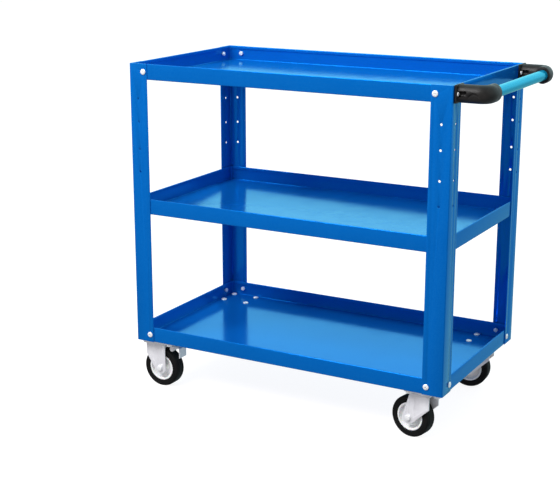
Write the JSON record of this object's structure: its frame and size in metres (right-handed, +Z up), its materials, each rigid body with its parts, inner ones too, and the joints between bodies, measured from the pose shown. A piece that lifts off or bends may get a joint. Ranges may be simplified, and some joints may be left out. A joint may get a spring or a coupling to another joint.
{
  "type": "tool cart",
  "caption": "Open rolling steel cart with stacked flat trays on corner posts, fixed and swivel casters, a foot brake, and a tubular push handle at one end.",
  "frame": {"origin": "on the floor, under the middle of the whole cart's box", "axes": "+X to the push handle's end along the cart's length, -Y to the front long side, +Z up"},
  "size_m": [0.9176, 0.4712, 0.8265],
  "materials": {
    "blue_paint": "glossy powder coat",
    "black_plastic": "satin moulded",
    "zinc": "zinc plated",
    "white_nylon": "satin moulded",
    "black_rubber": "matt"
  },
  "bodies": {
    "cart": {"bolt_bottom_back_left_on_end": "zinc", "bolt_bottom_back_left_on_side": "zinc", "bolt_bottom_back_right_on_end": "zinc", "bolt_bottom_back_right_on_side": "zinc", "bolt_bottom_front_left_on_end": "zinc", "bolt_bottom_front_left_on_side": "zinc", "bolt_bottom_front_right_on_end": "zinc", "bolt_bottom_front_right_on_side": "zinc", "bolt_top_back_left_on_end": "zinc", "bolt_top_back_left_on_side": "zinc", "bolt_top_back_right_on_side": "zinc", "bolt_top_front_left_on_end": "zinc", "bolt_top_front_left_on_side": "zinc", "bolt_top_front_right_on_side": "zinc", "caster_back_left_axle": "zinc", "caster_back_left_brake_pin": "zinc", "caster_back_left_bush": "zinc", "caster_back_left_fork": "zinc", "caster_back_right_ball_ring": "zinc", "caster_back_right_kingpin": "zinc", "caster_back_right_plate": "zinc", "caster_front_left_axle": "zinc", "caster_front_left_brake_pin": "zinc", "caster_front_left_bush": "zinc", "caster_front_left_fork": "zinc", "caster_front_right_ball_ring": "zinc", "caster_front_right_kingpin": "zinc", "caster_front_right_plate": "zinc", "handle_bracket_back": "black_plastic", "handle_bracket_front": "black_plastic", "handle_screw_back_inner": "zinc", "handle_screw_back_outer": "zinc", "handle_screw_front_inner": "zinc", "handle_screw_front_outer": "zinc", "handle_tube": "blue_paint", "post_back_left": "blue_paint", "post_back_right": "blue_paint", "post_front_left": "blue_paint", "post_front_right": "blue_paint", "tray_bottom": "blue_paint", "tray_middle": "blue_paint", "tray_top": "blue_paint"},
    "back_left_brake_pedal": {"caster_back_left_brake_pedal": "zinc"},
    "back_left_wheel": {"caster_back_left_tyre": "black_rubber", "caster_back_left_wheel": "white_nylon"},
    "back_right_fork": {"caster_back_right_axle": "zinc", "caster_back_right_bush": "zinc", "caster_back_right_fork": "zinc"},
    "back_right_wheel": {"caster_back_right_tyre": "black_rubber", "caster_back_right_wheel": "white_nylon"},
    "front_left_brake_pedal": {"caster_front_left_brake_pedal": "zinc"},
    "front_left_wheel": {"caster_front_left_tyre": "black_rubber", "caster_front_left_wheel": "white_nylon"},
    "front_right_fork": {"caster_front_right_axle": "zinc", "caster_front_right_bush": "zinc", "caster_front_right_fork": "zinc"},
    "front_right_wheel": {"caster_front_right_tyre": "black_rubber", "caster_front_right_wheel": "white_nylon"}
  },
  "joints": [
    {"name": "front_right_swivel", "type": "hinge", "parent": "cart", "child": "front_right_fork", "pos_m": [0.3228, -0.189, 0.1131], "axis": [0, 0, 1], "continuous": true},
    {"name": "front_right_roll", "type": "hinge", "parent": "front_right_fork", "child": "front_right_wheel", "pos_m": [0.28538, -0.1824, 0.05], "axis": [0.1736, 0.9848, 0], "continuous": true},
    {"name": "back_right_swivel", "type": "hinge", "parent": "cart", "child": "back_right_fork", "pos_m": [0.3228, 0.189, 0.1131], "axis": [0, 0, 1], "continuous": true},
    {"name": "back_right_roll", "type": "hinge", "parent": "back_right_fork", "child": "back_right_wheel", "pos_m": [0.28485, 0.18701, 0.05], "axis": [-0.0523, 0.9986, 0], "continuous": true},
    {"name": "front_left_roll", "type": "hinge", "parent": "cart", "child": "front_left_wheel", "pos_m": [-0.4032, -0.189, 0.05], "axis": [0, 1, 0], "continuous": true},
    {"name": "front_left_brake", "type": "hinge", "parent": "cart", "child": "front_left_brake_pedal", "pos_m": [-0.3912, -0.189, 0.1095], "axis": [0, 1, 0], "range_deg": [0, 14]},
    {"name": "back_left_roll", "type": "hinge", "parent": "cart", "child": "back_left_wheel", "pos_m": [-0.4032, 0.189, 0.05], "axis": [0, 1, 0], "continuous": true},
    {"name": "back_left_brake", "type": "hinge", "parent": "cart", "child": "back_left_brake_pedal", "pos_m": [-0.3912, 0.189, 0.1095], "axis": [0, 1, 0], "range_deg": [0, 14]}
  ]
}
